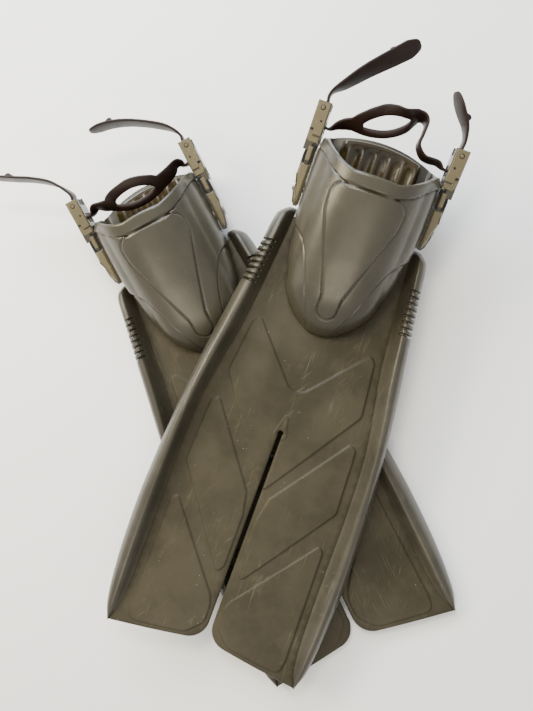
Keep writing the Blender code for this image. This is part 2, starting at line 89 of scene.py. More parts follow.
POCKET_WALL = 5.0
POCKET_FLOOR = 6.0
CORNER_RADIUS = 8.0
RIM_TOP_Z = 105.0
RIM_STEP_LOW = 8.0
RIM_STEP_RUN = 12.0
HEEL_ROUND = 14.0
HEEL_STEP = 19.0
RIM_RISE = 42.0
RIM_CURVE = 1.9


# ---------------------------------------------------------------- small helpers
def curve(stations):
    """A smooth function through (place, value) stations, for numbers or arrays."""
    place = np.array([s[0] for s in stations], float)
    value = np.array([s[1] for s in stations], float)
    low = np.maximum(np.arange(len(place)) - 1, 0)
    high = np.minimum(np.arange(len(place)) + 1, len(place) - 1)
    slope = (value[high] - value[low]) / (place[high] - place[low])

    def at(where):
        where = np.clip(where, place[0], place[-1])
        i = np.clip(np.searchsorted(place, where, side="right") - 1, 0, len(place) - 2)
        span = place[i + 1] - place[i]
        t = (where - place[i]) / span
        start = (1 + 2 * t) * (1 - t) ** 2 * value[i] + t * (1 - t) ** 2 * span * slope[i]
        return start + t * t * (3 - 2 * t) * value[i + 1] + t * t * (t - 1) * span * slope[i + 1]

    return at


rail_outer = curve(RAIL_OUTER)
rail_inner = curve(RAIL_INNER)
rail_height = curve(RAIL_HEIGHT)
rail_base = curve(RAIL_BASE)
pocket_half = curve(POCKET_HALF)
pocket_top = curve(POCKET_TOP)


def nose(y, start=TOE):
    t = np.clip((y - start) / NOSE_LENGTH, 0.0, 1.0)
    return (1 - (1 - t) ** NOSE_POWER) ** (1 / NOSE_POWER)


def ease(value, low, high):
    """0 below low, 1 above high and smooth between; low may be the greater one."""
    t = np.clip((value - low) / (high - low), 0.0, 1.0)
    return t * t * (3 - 2 * t)


def fin_matrix(key):
    """The fin's own frame, from the axes of its strap hinge and of a lever."""
    across = Vector(JOINTS[key + "_strap_swing"]["axis"]).normalized()
    upright = Vector(JOINTS[key + "_right_lever_turn"]["axis"]).normalized()
    along = upright.cross(across).normalized()
    y_axis = math.cos(RISE) * along - math.sin(RISE) * upright
    z_axis = math.sin(RISE) * along + math.cos(RISE) * upright
    turn = Matrix((across, y_axis, z_axis)).transposed()
    swing = Vector(JOINTS[key + "_strap_swing"]["pos_m"])
    origin = swing - turn @ Vector((0.0, STUD_Y * MM, STUD_Z * MM))
    return Matrix.Translation(origin) @ turn.to_4x4()


FIN = {key: fin_matrix(key) for key in KEYS}


def to_world(key, points):
    """Points of a fin's frame in millimetres, as metres in the row frame."""
    matrix = np.array(FIN[key])
    return (np.asarray(points, float) * MM) @ matrix[:3, :3].T + matrix[:3, 3]


def new_object(name, verts, faces, material, sharp=40.0):
    mesh = bpy.data.meshes.new(name)
    mesh.from_pydata([tuple(v) for v in verts], [], [tuple(f) for f in faces])
    mesh.validate()
    bm = bmesh.new()
    bm.from_mesh(mesh)
    bmesh.ops.recalc_face_normals(bm, faces=bm.faces)
    bm.to_mesh(mesh)
    bm.free()
    mesh.materials.append(material)
    mesh.shade_smooth()
    mesh.set_sharp_from_angle(angle=math.radians(sharp))
    piece = bpy.data.objects.new(name, mesh)
    bpy.context.collection.objects.link(piece)
    return piece


def settle(piece, body, slot, *nodes):
    """The calls every new piece needs."""
    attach(piece, body)
    if nodes:
        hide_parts(*nodes)
    return piece


def grid_faces(rows, columns, offset=0, closed=True):
    """Quads of a grid whose vertex (i, k) is at offset + i * columns + k."""
    faces = []
    for i in range(rows - 1):
        for k in range(columns if closed else columns - 1):
            m = (k + 1) % columns
            a = offset + i * columns
            faces.append((a + k, a + m, a + columns + m, a + columns + k))
    return faces


# ---------------------------------------------------------------- materials
class Nodes:
    """A small way to write a node tree as nested calls."""

    def __init__(self, name):
        self.material = bpy.data.materials.new(name)
        self.material.use_nodes = True
        self.tree = self.material.node_tree
        self.shader = self.tree.nodes["Principled BSDF"]

    def add(self, kind, inputs=None, **settings):
        node = self.tree.nodes.new(kind)
        for key, value in settings.items():
            setattr(node, key, value)
        for key, value in (inputs or {}).items():
            self.feed(node.inputs[key], value)
        return node

    def feed(self, target, value):
        if isinstance(value, bpy.types.NodeSocket):
            self.tree.links.new(value, target)
        else:
            target.default_value = value

    def maths(self, operation, a, b=0.0, clamp=False):
        node = self.add("ShaderNodeMath", operation=operation, use_clamp=clamp)
        self.feed(node.inputs[0], a)
        self.feed(node.inputs[1], b)
        return node.outputs[0]

    def mapped(self, scale, turn=0.0):
        place = self.add("ShaderNodeTexCoord").outputs["Object"]
        spin = self.add("ShaderNodeMapping", {"Vector": place, "Rotation": (0.0, 0.0, turn)})
        node = self.add("ShaderNodeMapping", {"Vector": spin.outputs[0], "Scale": scale})
        return node.outputs[0]

    def noise(self, vector, scale, detail=3.0, rough=0.5):
        return self.add("ShaderNodeTexNoise", {"Vector": vector, "Scale": scale, "Detail": detail,
                                               "Roughness": rough}).outputs["Fac"]

    def ramp(self, fac, low, high):
        node = self.add("ShaderNodeMapRange", {"Value": fac, "From Min": low, "From Max": high})
        node.interpolation_type = "SMOOTHSTEP"
        return node.outputs[0]

    def mix(self, fac, a, b):
        node = self.add("ShaderNodeMix", data_type="RGBA")
        self.feed(node.inputs[0], fac)
        self.feed(node.inputs[6], a)
        self.feed(node.inputs[7], b)
        return node.outputs[2]

    def bump(self, height, strength, distance, normal=None):
        node = self.add("ShaderNodeBump", {"Height": height, "Strength": strength, "Distance": distance})
        if normal is not None:
            self.feed(node.inputs["Normal"], normal)
        return node.outputs[0]


DUST = (0.42, 0.40, 0.34, 1.0)
CLOUD_SHARE = 0.36
SCRATCH_LIFT = 1.55
GRAIN_DEPTH = 0.0006
SCRATCH_DEPTH = 0.0003


def worn_material(name, dark, light, rough, heading, scratches, patches, dust, grain, specular):
    """Moulded rubber or plastic: blotchy colour, rubbed patches, fine scratches, dust and grain."""
    n = Nodes(name)
    plain = n.mapped((1.0, 1.0, 1.0), heading)
    blotch = n.noise(plain, 14.0, 5.0, 0.62)
    fine = n.noise(plain, 160.0, 4.0, 0.6)
    cloud = n.ramp(blotch, 0.35, 0.68)
    long_scratch = n.ramp(n.noise(n.mapped((900.0, 22.0, 300.0), heading), 1.0, 2.0), 0.60, 0.70)
    slant = n.ramp(n.noise(n.mapped((700.0, 30.0, 300.0), heading + 0.6), 1.0, 2.0), 0.63, 0.72)
    streaks = n.maths("MAXIMUM", long_scratch, slant)
    where = n.ramp(n.noise(n.mapped((26.0, 9.0, 20.0), heading), 1.0, 3.0, 0.7), 0.46, 0.66)
    streaks = n.maths("MULTIPLY", streaks, where)
    rubbed = n.ramp(n.noise(n.mapped((60.0, 24.0, 40.0), heading + 0.25), 1.0, 6.0, 0.75), 0.55, 0.72)
    rubbed = n.maths("MULTIPLY", rubbed, where)
    specks = n.add("ShaderNodeTexVoronoi", {"Vector": plain, "Scale": 190.0}, feature="F1")
    speck = n.ramp(specks.outputs["Distance"], 0.10, 0.05)
    keep = n.ramp(n.noise(plain, 75.0, 1.0), 0.60, 0.66)
    speck = n.maths("MULTIPLY", speck, keep)
    mid = tuple((1 - CLOUD_SHARE) * a + CLOUD_SHARE * b for a, b in zip(dark, light))
    colour = n.mix(cloud, (*dark, 1.0), (*mid, 1.0))
    colour = n.mix(n.maths("MULTIPLY", rubbed, patches), colour, (*light, 1.0))
    bright = tuple(SCRATCH_LIFT * c for c in light)
    colour = n.mix(n.maths("MULTIPLY", streaks, scratches), colour, (*bright, 1.0))
    colour = n.mix(n.maths("MULTIPLY", speck, dust), colour, DUST)
    n.feed(n.shader.inputs["Base Color"], colour)
    roughness = n.maths("ADD", rough - 0.07, n.maths("MULTIPLY", fine, 0.14))
    roughness = n.maths("ADD", roughness, n.maths("MULTIPLY", rubbed, 0.12), clamp=True)
    n.feed(n.shader.inputs["Roughness"], roughness)
    n.shader.inputs["Specular IOR Level"].default_value = specular
    normal = n.bump(fine, grain, GRAIN_DEPTH)
    normal = n.bump(streaks, 0.25, SCRATCH_DEPTH, normal)
    n.feed(n.shader.inputs["Normal"], normal)
    return n.material


def metal_material(name):
    n = Nodes(name)
    grain = n.noise(n.mapped((400.0, 400.0, 60.0)), 1.0, 3.0)
    colour = n.mix(grain, (0.36, 0.33, 0.28, 1.0), (0.55, 0.52, 0.46, 1.0))
    n.feed(n.shader.inputs["Base Color"], colour)
    n.feed(n.shader.inputs["Roughness"], n.maths("ADD", n.maths("MULTIPLY", grain, 0.2), 0.22))
    n.shader.inputs["Metallic"].default_value = 1.0
    return n.material


# part: (kind, dark and light colour, roughness, scratches, rubbed patches, dust, grain, specular level)
FINISHES = {
    "blade": ("plastic", (0.028, 0.0235, 0.012), (0.078, 0.067, 0.042), 0.50, 0.5, 0.6, 0.6, 0.12, 0.22),
    "rail": ("rubber", (0.034, 0.030, 0.020), (0.082, 0.073, 0.051), 0.36, 0.4, 0.4, 0.3, 0.12, 0.42),
    "pocket": ("rubber", (0.034, 0.030, 0.019), (0.062, 0.056, 0.038), 0.32, 0.10, 0.4, 0.25, 0.05, 0.5),
    "footbed": ("rubber", (0.028, 0.018, 0.004), (0.055, 0.038, 0.011), 0.20, 0.05, 0.2, 0.1, 0.03, 0.6),
    "strap": ("rubber", (0.012, 0.005, 0.0035), (0.024, 0.015, 0.011), 0.42, 0.15, 0.3, 0.2, 0.05, 0.25),
    "buckle": ("nylon", (0.030, 0.025, 0.014), (0.060, 0.050, 0.030), 0.24, 0.2, 0.3, 0.2, 0.05, 0.75),
    "lever": ("nylon", (0.018, 0.015, 0.010), (0.045, 0.038, 0.026), 0.24, 0.2, 0.3, 0.2, 0.05, 0.6),
    # painted highlight: a light-gold copy of the buckle nylon that stands for the warm highlight on the
    # buckles' raised top faces
    "painted_highlight": ("nylon", (0.088, 0.069, 0.030), (0.150, 0.122, 0.060), 0.26, 0.3, 0.5, 0.3, 0.05, 0.8),
    # painted shade: near-black sheets that stand for the shade in the buckles' pits, along their inner sides,
    # round their pins and eyelets, and in the strap's small holes
    "painted_shade": ("nylon", (0.006, 0.005, 0.004), (0.012, 0.010, 0.008), 0.5, 0.0, 0.0, 0.0, 0.05, 0.2),
}


def fin_looks(key):
    """The materials of one fin, with their scratches turned to run along it."""
    heading = -math.atan2(FIN[key][1][0], FIN[key][0][0])
    looks = {}
    for part, (kind, dark, light, rough, *wear) in FINISHES.items():
        looks[part] = worn_material(f"{key}_{part}_{kind}", dark, light, rough, heading, *wear)
    return looks


LOOKS = {key: fin_looks(key) for key in KEYS}
METAL = metal_material("stainless_steel")


# ---------------------------------------------------------------- blade
def rounded(corners, step=1.5, longest=7.0):
    """An outline with its (x, y, radius) corners rounded and its long sides divided."""
    points = []
    for i, (x, y, radius) in enumerate(corners):
        corner = Vector((x, y))
        before = Vector(corners[i - 1][:2]) - corner
        after = Vector(corners[(i + 1) % len(corners)][:2]) - corner
        if radius == 0:
            points.append(corner)
            continue
        u, v = before.normalized(), after.normalized()
        half = u.angle(v) / 2
        reach = min(radius / math.tan(half), 0.49 * min(before.length, after.length))
        size = reach * math.tan(half)
        centre = corner + (u + v).normalized() * (size / math.sin(half))
        start, end = corner + u * reach - centre, corner + v * reach - centre
        first = math.atan2(start.y, start.x)
        turn = (math.atan2(end.y, end.x) - first + math.pi) % (2 * math.pi) - math.pi
        count = max(2, round(abs(turn) * size / step))
        for k in range(count + 1):
            angle = first + turn * k / count
            points.append(centre + Vector((math.cos(angle), math.sin(angle))) * size)
    out = []
    for a, b in zip(points, points[1:] + points[:1]):
        parts = max(1, round((b - a).length / longest))
        out += [a.lerp(b, k / parts) for k in range(parts)]
    return np.array([tuple(p) for p in out])


def inset(outline, distance):
    """The outline moved inwards."""
    ahead = np.roll(outline, -1, axis=0) - outline
    area = np.sum(outline[:, 0] * np.roll(outline[:, 1], -1) - outline[:, 1] * np.roll(outline[:, 0], -1))
    ahead = ahead / np.maximum(np.linalg.norm(ahead, axis=1), 1e-9)[:, None]
    normal = np.stack([-ahead[:, 1], ahead[:, 0]], 1) * math.copysign(1.0, area)
    behind = np.roll(normal, 1, axis=0)
    share = np.maximum(1 + np.sum(normal * behind, axis=1), 0.35)
    return outline + (normal + behind) / share[:, None] * distance


def inside(points, outline):
    """Which points lie within a closed outline."""
    x, y = points[:, 0], points[:, 1]
    result = np.zeros(len(points), bool)
    for (ax, ay), (bx, by) in zip(outline, np.roll(outline, -1, axis=0)):
        if ay == by:
            continue
        crosses = ((ay > y) != (by > y)) & (x < (bx - ax) * (y - ay) / (by - ay) + ax)
        result ^= crosses
    return result


def distance_to(points, path, closed=True):
    """Distance from each point to a path, and the signed side it lies on."""
    best = np.full(len(points), 1e9)
    side = np.zeros(len(points))
    ends = np.roll(path, -1, axis=0) if closed else path[1:]
    for a, b in zip(path, ends):
        run = b - a
        t = np.clip(((points - a) @ run) / max(run @ run, 1e-9), 0.0, 1.0)
        away = points - (a + t[:, None] * run)
        distance = np.linalg.norm(away, axis=1)
        closer = distance < best - 1e-9
        best = np.where(closer, distance, best)
        side = np.where(closer, run[0] * away[:, 1] - run[1] * away[:, 0], side)
    return best, np.sign(side)


def mirrored(corners):
    return [(-x, y, r) for x, y, r in reversed(corners)]


# (distance inside an outline, height there), in millimetres
PANEL_SPREAD = [(-1.2, 0.0), (0.0, 0.12), (0.6, 0.95), (1.3, 1.45), (2.3, 1.55), (3.6, 1.55)]
EDGE_SPREAD = [(0.0, -1.5), (0.6, -0.6), (1.6, 0.0)]
TEAR_SPREAD = [(-0.6, 0.0), (0.0, 0.1), (0.8, 0.8), (1.6, 0.8)]
# corners as (x, y, radius)
RIGHT_B = [(78, 286, 5), (86, 279, 6), (90, 205, 12), (14, 94, 6), (7.5, 106, 8), (7.5, 168, 22),
           (13, 195, 16)]
RIGHT_C = [(85, 166, 5), (91, 158, 6), (94, 30, 6), (92, 9.5, 12), (25, 18, 20), (7.5, 36, 18), (7.5, 58, 18),
           (12, 70, 14)]
PANEL_A = [(0, 311, 16), (65, 386, 5), (72, 377, 5), (79, 316, 12), (5, 203, 5), (-5, 203, 5), (-79, 316, 12),
           (-72, 377, 5), (-65, 386, 5)]
TEARDROP = [(0, 298, 2.5), (8.5, 266, 5), (0, 258, 0), (-8.5, 266, 5)]


LOBE_STEPS = 14
TIP_STEPS = 12
NOSE_STEPS = 12
TUCK = 2.0
GRID_STEP = 7.0


def blade_outline():
    """The whole blade seen from above: slot, lobes, tips, sides and the pocket's edge."""
    right = [(0.0, SPLIT_TOP + 3.2), (2.2, SPLIT_TOP + 2.4), (3.1, SPLIT_TOP + 0.4),
             (SPLIT_HALF, SPLIT_TOP - 2.0)]
    centre = (SPLIT_HALF + LOBE_RADIUS, TIP_SWEEP - 3.0 + LOBE_RADIUS)
    for y in np.arange(262.0, centre[1] + 1.0, -7.0):
        right.append((SPLIT_HALF, y))
    sweep = math.pi / 2 - math.atan(TIP_SWEEP / rail_inner(0))
    for k in range(LOBE_STEPS + 1):
        angle = math.pi + sweep * k / LOBE_STEPS
        right.append((centre[0] + LOBE_RADIUS * math.cos(angle), centre[1] + LOBE_RADIUS * math.sin(angle)))
    last, tip = right[-1], (float(rail_inner(0.0)) + 0.6, 0.0)
    shares = [k / TIP_STEPS for k in range(1, TIP_STEPS + 1)]
    right += [(last[0] + (tip[0] - last[0]) * t, last[1] + (tip[1] - last[1]) * t) for t in shares]
    right += [(float(rail_inner(y)) + 1.0, y) for y in np.arange(5.0, BLADE_ROOT + 1, 5.0)]
    beside_pocket = list(np.arange(BLADE_ROOT, 435.0, -10.0))
    beside_pocket += [TOE + NOSE_LENGTH * (k / NOSE_STEPS) ** 2 for k in range(NOSE_STEPS, 0, -1)]
    right += [(float(pocket_half(y) * nose(y)) - TUCK, y) for y in beside_pocket]
    right.append((0.0, TOE + TUCK))
    left = [(-x, y) for x, y in reversed(right) if x > 0.001]
    return np.array(right + left)


def blade_wave(x, y):
    """The blade's gentle bow across each lobe and along its length."""
    across = np.abs(x) / rail_inner(y)
    bow = np.sin(np.pi * np.clip(across, 0, 1)) * ease(y, 430.0, 240.0)
    return 1.6 * bow - 1.3 * (1 - across) ** 2 * ease(y, 300.0, 40.0)


def proud(points, outline, spread):
    """Height at each point from its distance within an outline."""
    away, _ = distance_to(points, outline)
    signed = np.where(inside(points, outline), away, -away)
    return np.interp(signed, [d for d, _ in spread], [h for _, h in spread])


def blade_mesh():
    """The blade's plan as triangles, with each point's height and how far the edge rounding lowers it."""
    outline = blade_outline()
    panels = [rounded(c) for c in (PANEL_A, RIGHT_B, mirrored(RIGHT_B), RIGHT_C, mirrored(RIGHT_C))]
    tear = rounded(TEARDROP, 1.0, 3.0)
    points, edges = [], []

    def ring(path):
        start = len(points)
        points.extend(path.tolist())
        edges.extend((start + k, start + (k + 1) % len(path)) for k in range(len(path)))

    for distance, _ in EDGE_SPREAD:
        ring(inset(outline, distance))
    for panel in panels:
        for distance, _ in PANEL_SPREAD:
            ring(inset(panel, distance))
    for distance, _ in TEAR_SPREAD:
        ring(inset(tear, distance))
    grid = []
    for i, y in enumerate(np.arange(4.0, 502.0, GRID_STEP * 0.87)):
        for x in np.arange(-120.0 + (GRID_STEP / 2 if i % 2 else 0.0), 121.0, GRID_STEP):
            grid.append((x, y))
    grid = np.array(grid)
    grid = grid[inside(grid, inset(outline, 3.4))]
    for area in panels + [tear]:
        away, _ = distance_to(grid, area)
        grid = grid[(away > 5.0) | ((away > 3.0) & ~inside(grid, area))]
    points.extend(grid.tolist())
    verts, _, faces, _, _, _ = delaunay_2d_cdt([Vector(p) for p in points], edges, [], 0, 1e-4)
    flat = np.array([tuple(v) for v in verts])
    faces = np.array([list(f) for f in faces])
    faces = faces[inside(flat[faces].mean(axis=1), outline)]
    rim_drop = proud(flat, outline, EDGE_SPREAD)
    height = rim_drop + proud(flat, tear, TEAR_SPREAD)
    for panel in panels:
        height += proud(flat, panel, PANEL_SPREAD)
    return flat, height, rim_drop, faces


def make_blade(key):
    flat, height, rim_drop, faces = blade_mesh()
    x, y = flat[:, 0], flat[:, 1]
    z = BLADE_TOP + height + blade_wave(x, y)
    top = np.stack([x, y, z], 1)
    count = {}
    for face in faces:
        for a, b in zip(face, np.roll(face, -1)):
            pair = (min(a, b), max(a, b))
            count.setdefault(pair, []).append((a, b))
    rim = [pairs[0] for pairs in count.values() if len(pairs) == 1]
    bottom = top.copy()
    bottom[:, 2] = BLADE_BOTTOM + blade_wave(x, y) - 0.8 * rim_drop
    n = len(top)
    walls = [(a, b, b + n, a + n) for a, b in rim]
    all_faces = [tuple(f) for f in faces] + [tuple(n + v for v in reversed(list(f))) for f in faces] + walls
    verts = to_world(key, np.vstack([top, bottom]))
    piece = new_object(key + "_blade_skin", verts, all_faces, LOOKS[key]["blade"], 55.0)
    return settle(piece, key + "_fin", "blade", key + "_blade")


# ---------------------------------------------------------------- rails
RAIL_ARCH_STEPS = 30
RAIL_CREST = 0.46
RAIL_CAP_FROM = 497.0
RAIL_CAP_LENGTH = 13.4
GRIP_DROP = 4.6


def make_rail(key, side, label):
    """A side rail: a wall that rises from the blade, rolls over outwards and carries the grip ribs."""
    stretches = [np.arange(0.0, 40.0, 2.0), np.arange(40.0, 410.0, 4.0), np.arange(410.0, 476.0, 0.6),
                 np.arange(476.0, 510.01, 1.0)]
    rings = []
    for y in np.concatenate(stretches):
        inner, outer = float(rail_inner(y)), float(rail_outer(y))
        low, high = float(rail_base(y)), float(rail_height(y))
        end = math.sqrt(max(0.0, 1 - (max(0.0, y - RAIL_CAP_FROM) / RAIL_CAP_LENGTH) ** 2.2))
        high = low + (high - low) * (0.15 + 0.85 * end)
        outer = inner + (outer - inner) * (0.62 + 0.38 * end)
        wall = min(11.2, 0.6 * high + 0.4 * low)
        grip = 0.0
        place = (y - GRIP_FIRST) / GRIP_PITCH
        if 0 <= place <= GRIP_TEETH:
            phase = place % 1.0
            grip = float(ease(phase, 0.0, 0.12) * ease(phase, 0.50, 0.38))
        ring = [(inner - 0.2, low + 0.4), (inner - 0.2, wall - 1.5)]
        for k in range(RAIL_ARCH_STEPS + 1):
            t = k / RAIL_ARCH_STEPS
            x = inner + (outer - inner) * t
            if t < RAIL_CREST:
                rise = float(ease(t / RAIL_CREST, -0.12, 1.0))
                z = wall + (high - wall) * rise
            else:
                s = (t - RAIL_CREST) / (1 - RAIL_CREST)
                z = low + 3.0 + (high - low - 3.0) * max(0.0, 1 - s ** 2.5) ** 0.72
            cut = grip * float(ease(t, 0.26, 0.34))
            z -= cut * GRIP_DROP
            x -= cut * GRIP_DEPTH * max(t - 0.5, 0.0) * 2
            ring.append((x, z))
        shift = grip * GRIP_DEPTH
        ring += [(outer - shift, low + 1.6), (outer - 0.8 - shift, low + 0.4), (outer - 2.2 - shift, low),
                 ((inner + outer) / 2, low), (inner + 0.8, low)]
        rings.append([(side * a, y, b) for a, b in ring])
    columns = len(rings[0])
    verts = [v for ring in rings for v in ring]
    faces = grid_faces(len(rings), columns)
    faces.append(tuple(range(columns)))
    faces.append(tuple(len(verts) - columns + k for k in range(columns)))
    node = key + "_" + label + "_rail"
    piece = new_object(node + "_skin", to_world(key, verts), faces, LOOKS[key]["rail"], 50.0)
    return settle(piece, key + "_fin", "rubber", node)


# ---------------------------------------------------------------- foot pocket
BOTTOM_STEPS = 14
CORNER_STEPS = 7
ARCH_STEPS = 176
PROBE_ROW = 150
RIM_REFERENCE = 560.0
HOLLOW_START = TOE + 9.0
CHEEK_HALF = 65.8
LIP_PROUD = 1.5
LIP_GROOVE = 1.1
PLATE_PROUD = 1.2
PLATE_GROOVE = 1.2
WING_PROUD = 1.2
WING_SINK = 2.2
TREAD_DEPTH = 0.9
TREAD_PITCH = 11.0
TONGUE = [(0, 531.5, 90), (39, 534, 11), (37, 508, 22), (9.5, 426, 28), (9.5, 409, 8), (0, 403, 12),
          (-9.5, 409, 8), (-9.5, 426, 28), (-37, 508, 22), (-39, 534, 11)]
SIDE_LINE = [(9, 383), (15, 391), (20, 401), (25, 413), (30, 427), (37, 447), (46, 467), (57, 485), (68, 500),
             (78, 512)]


def pocket_ring(y, inset_by, floor, nose_start):
    """x and z of the pocket's section for an array y of shape (rows, columns)."""
    half = pocket_half(y) - inset_by
    top = pocket_top(y) - inset_by
    corner = CORNER_RADIUS - inset_by / 2
    reach = half - corner
    x = np.zeros_like(y)
    z = np.zeros_like(y)
    right = BOTTOM_STEPS + CORNER_STEPS
    total = y.shape[1]
    for k in range(total):
        if k < BOTTOM_STEPS:
            x[:, k] = reach[:, k] * k / BOTTOM_STEPS
            z[:, k] = floor
        elif k < right:
            angle = math.pi / 2 * (k - BOTTOM_STEPS) / CORNER_STEPS
            x[:, k] = reach[:, k] + corner * math.sin(angle)
            z[:, k] = floor + corner * (1 - math.cos(angle))
        elif k <= right + ARCH_STEPS:
            angle = math.pi * (k - right) / ARCH_STEPS
            c, s = math.cos(angle), max(math.sin(angle), 0.0)
            x[:, k] = half[:, k] * math.copysign(abs(c) ** (2 / ARCH_POWER), c)
            z[:, k] = WIDEST_Z + (top[:, k] - WIDEST_Z) * s ** (2 / ARCH_POWER)
        else:
            m = total - k
            if m < BOTTOM_STEPS:
                x[:, k] = -reach[:, k] * m / BOTTOM_STEPS
                z[:, k] = floor
            else:
                angle = math.pi / 2 * (m - BOTTOM_STEPS) / CORNER_STEPS
                x[:, k] = -(reach[:, k] + corner * math.sin(angle))
                z[:, k] = floor + corner * (1 - math.cos(angle))
    full = nose(y, nose_start)
    return x * full, NOSE_Z + (z - NOSE_Z) * full


def rim_line(x, z):
    """Where the rim is along the fin: a rounded sole, a step forward, then a curve over the instep."""
    up = np.clip((z - POCKET_FLOOR) / (RIM_TOP_Z - POCKET_FLOOR), 0, 1)
    step = np.clip((z - RIM_STEP_LOW) / RIM_STEP_RUN, 0, 1)
    rounding = HEEL_ROUND * (x / HEEL_HALF) ** 2 * (1 - step)
    return HEEL - rounding - HEEL_STEP * step - RIM_RISE * up ** RIM_CURVE


def pocket_detail(x, y, z, rim):
    """How far the outside stands proud of the plain form, in millimetres."""
    shape = x.shape
    flat = np.stack([np.abs(x).ravel(), y.ravel()], 1)
    up = ease(z, 20.0, 30.0)
    back = rim - y
    width = 9.0 + 4.5 * ease(z, 66.0, 96.0)
    lip = LIP_PROUD * ease(back - width, 0.9, -0.6) - LIP_GROOVE * np.exp(-((back - width - 1.3) / 1.0) ** 2)
    lip *= ease(z, 9.0, 16.0)
    lip -= 1.6 * np.clip(1 - back / 2.2, 0, 1) ** 2
    tongue = rounded(TONGUE, 2.0, 6.0)
    away, _ = distance_to(flat, tongue)
    signed = np.where(inside(flat, tongue), away, -away).reshape(shape)
    painted_highlight = PLATE_PROUD * ease(signed, -0.7, 0.7) - PLATE_GROOVE * np.exp(-((signed + 1.3) / 0.95) ** 2)
    away, side = distance_to(flat, np.array(SIDE_LINE, float), closed=False)
    signed = (away * side).reshape(shape)
    wing = -WING_SINK * ease(signed, 0.8, -0.8) + WING_PROUD * ease(signed, -2.0, -16.0)
    wing -= 1.0 * np.exp(-((signed + 0.3) / 1.0) ** 2)
    wing *= ease(z, 12.0, 20.0) * ease(y, 512.0, 500.0)
    tread = -TREAD_DEPTH * (np.abs(((y - 400.0) / TREAD_PITCH) % 1.0 - 0.5) < 0.14)
    tread *= (z < 1.0) * (np.abs(x) < 42.0) * (y > 440.0) * (y < 590.0)
    detail = lip + painted_highlight * up + wing + tread
    # the side swells towards the buckle that lies against it
    cheek = np.clip(CHEEK_HALF - np.abs(x) - np.maximum(detail, 0.0), 0.0, 4.0) * ease(np.abs(x), 50.0, 59.0)
    cheek *= ease(z, 20.0, 32.0) * ease(z, 92.0, 76.0) * ease(y, 432.0, 452.0) * ease(back, 1.0, 10.0)
    return detail + cheek


def make_pocket(key):
    """The foot pocket: an outer skin with its detail, a plain hollow inside and a rim that joins them."""
    columns = 2 * (BOTTOM_STEPS + CORNER_STEPS) + ARCH_STEPS
    reference = np.full((1, columns), RIM_REFERENCE)
    rim = rim_line(*pocket_ring(reference, 0.0, 0.0, TOE))

    def layer(rows, start, inset_by, floor, power):
        share = (np.arange(1, rows + 1) / rows)[:, None] ** power
        y = start + (rim - start) * share
        x, z = pocket_ring(y, inset_by, floor, start)
        return x, y, z

    x, y, z = layer(215, TOE, 0.0, 0.0, 1.4)
    points = np.stack([x, y, z], 2)
    along = np.gradient(points, axis=0)
    around = np.roll(points, -1, axis=1) - np.roll(points, 1, axis=1)
    normal = np.cross(along, around)
    normal /= np.maximum(np.linalg.norm(normal, axis=2), 1e-9)[..., None]
    top = BOTTOM_STEPS + CORNER_STEPS + ARCH_STEPS // 2
    if normal[PROBE_ROW, top, 2] < 0:
        normal = -normal
    points = points + normal * pocket_detail(x, y, z, rim)[..., None]
    hollow = np.stack(layer(40, HOLLOW_START, POCKET_WALL, POCKET_FLOOR, 1.7), 2)
    verts = np.vstack([points.reshape(-1, 3), hollow.reshape(-1, 3), [[0.0, TOE, NOSE_Z]],
                       [[0.0, HOLLOW_START, NOSE_Z]]])
    rows = points.shape[0]
    second = rows * columns
    third = second + hollow.shape[0] * columns
    faces = grid_faces(rows, columns) + grid_faces(hollow.shape[0], columns, second)
    for k in range(columns):
        m = (k + 1) % columns
        faces.append((third, k, m))
        faces.append((third + 1, second + k, second + m))
        faces.append((second - columns + k, second - columns + m, third - columns + m, third - columns + k))
    piece = new_object(key + "_foot_pocket_skin", to_world(key, verts), faces, LOOKS[key]["pocket"], 48.0)
    return settle(piece, key + "_fin", "rubber", key + "_foot_pocket")


# ---------------------------------------------------------------- straps
TIP_ROUND = 12.0
TAIL_FROM = 632.0
TAIL_SPREAD = 0.12
STRAP_HALF = 9.3
LOOP_HALF = 34.0
LOOP_HOLE_HALF = 25.0
LOOP_RISE = 15.0
LOOP_HOLE_LOW = -3.0
LOOP_HOLE_RISE = 12.5
ARM_LAP = 4.0
STRAP_THICK = 3.0
STRAP_STEP = 1.6
STOP_PLACE = 27.0
HOLES_PLACE = 33.0
BAND_LAP = 1.7
STOP_HALF = 8.6
STOP_PROUD = 0.92
LOOP_Y = 590.0
HOLE_APART = 2.6
HOLE_FACE = 1.53
STOP_SHAPE = [(-5.0, 1.2), (-1.5, 4.6), (1.0, 4.9), (2.6, 4.2), (3.4, 1.2)]
HOLE_SHAPE = [(-1.4, -1.3), (1.4, -1.3), (1.4, 1.3), (-1.4, 1.3)]
LOOP_X = {"upper": -8.0, "lower": -4.0}
# routes of the strap's middle line, as (x, y, z, lean in degrees)
BAND = {
    "upper": [(-54, 596, 50, 5), (-43, 600, 56, 20), (-25, 602, 60, 38), (-7, 607, 62, 50), (9, 616, 64, 45),
              (20, 627, 64, 25), (29, 624, 62, 5), (30, 613, 60, 0), (30, 602, 57, 0), (39, 594, 53, 0),
              (54, 594, 49, 0)],
    "lower": [(-54, 595, 50, 5), (-43, 590, 56, 20), (-26, 583, 62, 40), (-7, 578, 64, 50), (14, 578, 65, 50),
              (38, 584, 62, 35), (54, 594, 52, 8)],
}
LEFT_TAIL = {
    "upper": [(-61, 634, 62, 15), (-44, 652, 68, 30), (-23, 672, 72, 42), (-4, 690, 76, 48)],
    "lower": [(-84, 640, 60, 0), (-103, 655, 61, 0), (-122, 666, 62, 0), (-150, 683, 62, 0)],
}
RIGHT_TAIL = {
    "upper": [(66, 634, 63, 5), (55, 646, 70, 10), (45, 658, 75, 15)],
    "lower": [(63, 634, 61, 0), (47, 646, 64, 0), (26, 659, 65, 0), (5, 667, 66, 0), (-18, 671, 66, 0)],
}


